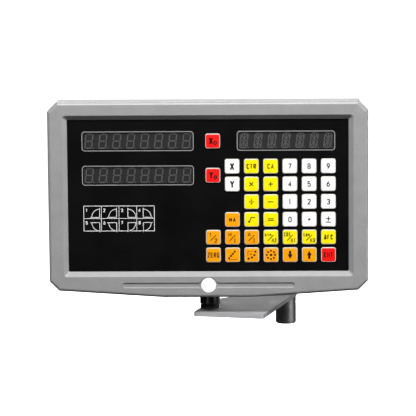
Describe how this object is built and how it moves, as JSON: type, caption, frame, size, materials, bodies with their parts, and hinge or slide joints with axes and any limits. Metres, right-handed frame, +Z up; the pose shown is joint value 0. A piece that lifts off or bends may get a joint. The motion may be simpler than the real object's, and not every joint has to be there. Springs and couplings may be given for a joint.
{
  "type": "milling machine digital readout console",
  "caption": "Flat readout console with numeric windows and a keypad, tilting and swivelling on a short flat arm over a round post.",
  "frame": {"origin": "on the post's axis, at the face of the machine's own arm that its spigot drops into", "axes": "+Z up along the post, -Y the way the keys face at rest, +X to the right of someone reading the console"},
  "size_m": [0.2981, 0.1427, 0.2311],
  "materials": {
    "bezel_paint": "grey textured powder coat over a die casting",
    "cover_paint": "grey textured powder coat over a die casting",
    "panel_black": "satin black face film",
    "window_smoke": "smoked acrylic",
    "module_dark": "dark display body",
    "board_green": "green solder mask",
    "switch_black": "moulded",
    "gasket_rubber": "flat closed-cell seal",
    "connector_black": "moulded",
    "rocker_black": "moulded",
    "connector_metal": "tinned",
    "screw_steel": "zinc plated",
    "bracket_black": "satin black enamel",
    "screw_black": "black oxide",
    "knob_black": "moulded",
    "arm_paint": "grey enamel",
    "post_steel": "turned",
    "nut_steel": "zinc plated",
    "badge_white": "plain white",
    "key_white": "moulded",
    "key_yellow": "moulded",
    "key_orange": "moulded",
    "key_red": "moulded"
  },
  "bodies": {
    "post": {"pivot_post": "post_steel", "pivot_nut": "nut_steel"},
    "arm": {"arm_plate": "arm_paint"},
    "knob": {"clamp_knob": "knob_black"},
    "bracket": {"tilt_bracket": "bracket_black", "tilt_screws": "screw_black"},
    "console": {"front_bezel": "bezel_paint", "badge_disc": "badge_white", "face_panel": "panel_black", "display_windows": "window_smoke", "axis_displays": "module_dark", "message_display": "module_dark", "main_board": "board_green", "key_switches": "switch_black", "cover_gasket": "gasket_rubber", "rear_cover": "cover_paint", "power_supply": "board_green", "power_inlet": "connector_black", "scale_sockets": "connector_metal", "cover_screws": "screw_steel"},
    "rocker": {"power_switch": "rocker_black"},
    "key_x_clear": {"key_x_clear": "key_red"},
    "key_y_clear": {"key_y_clear": "key_red"},
    "key_x": {"key_x": "key_white"},
    "key_ctr": {"key_ctr": "key_yellow"},
    "key_ca": {"key_ca": "key_yellow"},
    "key_7": {"key_7": "key_white"},
    "key_8": {"key_8": "key_white"},
    "key_9": {"key_9": "key_white"},
    "key_y": {"key_y": "key_white"},
    "key_multiply": {"key_multiply": "key_yellow"},
    "key_add": {"key_add": "key_yellow"},
    "key_4": {"key_4": "key_white"},
    "key_5": {"key_5": "key_white"},
    "key_6": {"key_6": "key_white"},
    "key_divide": {"key_divide": "key_yellow"},
    "key_subtract": {"key_subtract": "key_yellow"},
    "key_1": {"key_1": "key_white"},
    "key_2": {"key_2": "key_white"},
    "key_3": {"key_3": "key_white"},
    "key_ha": {"key_ha": "key_orange"},
    "key_root": {"key_root": "key_yellow"},
    "key_equals": {"key_equals": "key_yellow"},
    "key_0": {"key_0": "key_white"},
    "key_point": {"key_point": "key_white"},
    "key_sign": {"key_sign": "key_white"},
    "key_half": {"key_half": "key_orange"},
    "key_units": {"key_units": "key_orange"},
    "key_mode": {"key_mode": "key_orange"},
    "key_sine": {"key_sine": "key_yellow"},
    "key_cosine": {"key_cosine": "key_yellow"},
    "key_tangent": {"key_tangent": "key_yellow"},
    "key_arc": {"key_arc": "key_yellow"},
    "key_zero": {"key_zero": "key_orange"},
    "key_slant_holes": {"key_slant_holes": "key_orange"},
    "key_curve": {"key_curve": "key_orange"},
    "key_bolt_circle": {"key_bolt_circle": "key_orange"},
    "key_down": {"key_down": "key_orange"},
    "key_up": {"key_up": "key_orange"},
    "key_enter": {"key_enter": "key_red"}
  },
  "joints": [
    {"name": "arm_swivel", "type": "hinge", "parent": "post", "child": "arm", "pos_m": [0, 0, 0.0102], "axis": [0, 0, 1], "range_deg": [-90, 90]},
    {"name": "bracket_swivel", "type": "hinge", "parent": "arm", "child": "bracket", "pos_m": [-0.07203, -0.08691, 0.0102], "axis": [0, 0, 1], "range_deg": [-40, 40]},
    {"name": "console_tilt", "type": "hinge", "parent": "bracket", "child": "console", "pos_m": [-0.07203, -0.06691, 0.0462], "axis": [1, 0, 0], "range_deg": [-25, 8]},
    {"name": "clamp_knob_turn", "type": "hinge", "parent": "arm", "child": "knob", "pos_m": [-0.07203, -0.08691, 0.0102], "axis": [0, 0, 1], "range_deg": [0, 360]},
    {"name": "inlet_switch_rock", "type": "hinge", "parent": "console", "child": "rocker", "pos_m": [0.01997, -0.07891, 0.1007], "axis": [1, 0, 0], "range_deg": [0, 14]},
    {"name": "key_x_clear_press", "type": "slide", "parent": "console", "child": "key_x_clear", "axis": [0, 1, 0], "range_m": [0, 0.001], "stiffness_N_per_m": 900, "springref_m": -0.0004},
    {"name": "key_y_clear_press", "type": "slide", "parent": "console", "child": "key_y_clear", "axis": [0, 1, 0], "range_m": [0, 0.001], "stiffness_N_per_m": 900, "springref_m": -0.0004},
    {"name": "key_x_press", "type": "slide", "parent": "console", "child": "key_x", "axis": [0, 1, 0], "range_m": [0, 0.001], "stiffness_N_per_m": 900, "springref_m": -0.0004},
    {"name": "key_ctr_press", "type": "slide", "parent": "console", "child": "key_ctr", "axis": [0, 1, 0], "range_m": [0, 0.001], "stiffness_N_per_m": 900, "springref_m": -0.0004},
    {"name": "key_ca_press", "type": "slide", "parent": "console", "child": "key_ca", "axis": [0, 1, 0], "range_m": [0, 0.001], "stiffness_N_per_m": 900, "springref_m": -0.0004},
    {"name": "key_7_press", "type": "slide", "parent": "console", "child": "key_7", "axis": [0, 1, 0], "range_m": [0, 0.001], "stiffness_N_per_m": 900, "springref_m": -0.0004},
    {"name": "key_8_press", "type": "slide", "parent": "console", "child": "key_8", "axis": [0, 1, 0], "range_m": [0, 0.001], "stiffness_N_per_m": 900, "springref_m": -0.0004},
    {"name": "key_9_press", "type": "slide", "parent": "console", "child": "key_9", "axis": [0, 1, 0], "range_m": [0, 0.001], "stiffness_N_per_m": 900, "springref_m": -0.0004},
    {"name": "key_y_press", "type": "slide", "parent": "console", "child": "key_y", "axis": [0, 1, 0], "range_m": [0, 0.001], "stiffness_N_per_m": 900, "springref_m": -0.0004},
    {"name": "key_multiply_press", "type": "slide", "parent": "console", "child": "key_multiply", "axis": [0, 1, 0], "range_m": [0, 0.001], "stiffness_N_per_m": 900, "springref_m": -0.0004},
    {"name": "key_add_press", "type": "slide", "parent": "console", "child": "key_add", "axis": [0, 1, 0], "range_m": [0, 0.001], "stiffness_N_per_m": 900, "springref_m": -0.0004},
    {"name": "key_4_press", "type": "slide", "parent": "console", "child": "key_4", "axis": [0, 1, 0], "range_m": [0, 0.001], "stiffness_N_per_m": 900, "springref_m": -0.0004},
    {"name": "key_5_press", "type": "slide", "parent": "console", "child": "key_5", "axis": [0, 1, 0], "range_m": [0, 0.001], "stiffness_N_per_m": 900, "springref_m": -0.0004},
    {"name": "key_6_press", "type": "slide", "parent": "console", "child": "key_6", "axis": [0, 1, 0], "range_m": [0, 0.001], "stiffness_N_per_m": 900, "springref_m": -0.0004},
    {"name": "key_divide_press", "type": "slide", "parent": "console", "child": "key_divide", "axis": [0, 1, 0], "range_m": [0, 0.001], "stiffness_N_per_m": 900, "springref_m": -0.0004},
    {"name": "key_subtract_press", "type": "slide", "parent": "console", "child": "key_subtract", "axis": [0, 1, 0], "range_m": [0, 0.001], "stiffness_N_per_m": 900, "springref_m": -0.0004},
    {"name": "key_1_press", "type": "slide", "parent": "console", "child": "key_1", "axis": [0, 1, 0], "range_m": [0, 0.001], "stiffness_N_per_m": 900, "springref_m": -0.0004},
    {"name": "key_2_press", "type": "slide", "parent": "console", "child": "key_2", "axis": [0, 1, 0], "range_m": [0, 0.001], "stiffness_N_per_m": 900, "springref_m": -0.0004},
    {"name": "key_3_press", "type": "slide", "parent": "console", "child": "key_3", "axis": [0, 1, 0], "range_m": [0, 0.001], "stiffness_N_per_m": 900, "springref_m": -0.0004},
    {"name": "key_ha_press", "type": "slide", "parent": "console", "child": "key_ha", "axis": [0, 1, 0], "range_m": [0, 0.001], "stiffness_N_per_m": 900, "springref_m": -0.0004},
    {"name": "key_root_press", "type": "slide", "parent": "console", "child": "key_root", "axis": [0, 1, 0], "range_m": [0, 0.001], "stiffness_N_per_m": 900, "springref_m": -0.0004},
    {"name": "key_equals_press", "type": "slide", "parent": "console", "child": "key_equals", "axis": [0, 1, 0], "range_m": [0, 0.001], "stiffness_N_per_m": 900, "springref_m": -0.0004},
    {"name": "key_0_press", "type": "slide", "parent": "console", "child": "key_0", "axis": [0, 1, 0], "range_m": [0, 0.001], "stiffness_N_per_m": 900, "springref_m": -0.0004},
    {"name": "key_point_press", "type": "slide", "parent": "console", "child": "key_point", "axis": [0, 1, 0], "range_m": [0, 0.001], "stiffness_N_per_m": 900, "springref_m": -0.0004},
    {"name": "key_sign_press", "type": "slide", "parent": "console", "child": "key_sign", "axis": [0, 1, 0], "range_m": [0, 0.001], "stiffness_N_per_m": 900, "springref_m": -0.0004},
    {"name": "key_half_press", "type": "slide", "parent": "console", "child": "key_half", "axis": [0, 1, 0], "range_m": [0, 0.001], "stiffness_N_per_m": 900, "springref_m": -0.0004},
    {"name": "key_units_press", "type": "slide", "parent": "console", "child": "key_units", "axis": [0, 1, 0], "range_m": [0, 0.001], "stiffness_N_per_m": 900, "springref_m": -0.0004},
    {"name": "key_mode_press", "type": "slide", "parent": "console", "child": "key_mode", "axis": [0, 1, 0], "range_m": [0, 0.001], "stiffness_N_per_m": 900, "springref_m": -0.0004},
    {"name": "key_sine_press", "type": "slide", "parent": "console", "child": "key_sine", "axis": [0, 1, 0], "range_m": [0, 0.001], "stiffness_N_per_m": 900, "springref_m": -0.0004},
    {"name": "key_cosine_press", "type": "slide", "parent": "console", "child": "key_cosine", "axis": [0, 1, 0], "range_m": [0, 0.001], "stiffness_N_per_m": 900, "springref_m": -0.0004},
    {"name": "key_tangent_press", "type": "slide", "parent": "console", "child": "key_tangent", "axis": [0, 1, 0], "range_m": [0, 0.001], "stiffness_N_per_m": 900, "springref_m": -0.0004},
    {"name": "key_arc_press", "type": "slide", "parent": "console", "child": "key_arc", "axis": [0, 1, 0], "range_m": [0, 0.001], "stiffness_N_per_m": 900, "springref_m": -0.0004},
    {"name": "key_zero_press", "type": "slide", "parent": "console", "child": "key_zero", "axis": [0, 1, 0], "range_m": [0, 0.001], "stiffness_N_per_m": 900, "springref_m": -0.0004},
    {"name": "key_slant_holes_press", "type": "slide", "parent": "console", "child": "key_slant_holes", "axis": [0, 1, 0], "range_m": [0, 0.001], "stiffness_N_per_m": 900, "springref_m": -0.0004},
    {"name": "key_curve_press", "type": "slide", "parent": "console", "child": "key_curve", "axis": [0, 1, 0], "range_m": [0, 0.001], "stiffness_N_per_m": 900, "springref_m": -0.0004},
    {"name": "key_bolt_circle_press", "type": "slide", "parent": "console", "child": "key_bolt_circle", "axis": [0, 1, 0], "range_m": [0, 0.001], "stiffness_N_per_m": 900, "springref_m": -0.0004},
    {"name": "key_down_press", "type": "slide", "parent": "console", "child": "key_down", "axis": [0, 1, 0], "range_m": [0, 0.001], "stiffness_N_per_m": 900, "springref_m": -0.0004},
    {"name": "key_up_press", "type": "slide", "parent": "console", "child": "key_up", "axis": [0, 1, 0], "range_m": [0, 0.001], "stiffness_N_per_m": 900, "springref_m": -0.0004},
    {"name": "key_enter_press", "type": "slide", "parent": "console", "child": "key_enter", "axis": [0, 1, 0], "range_m": [0, 0.001], "stiffness_N_per_m": 900, "springref_m": -0.0004}
  ]
}
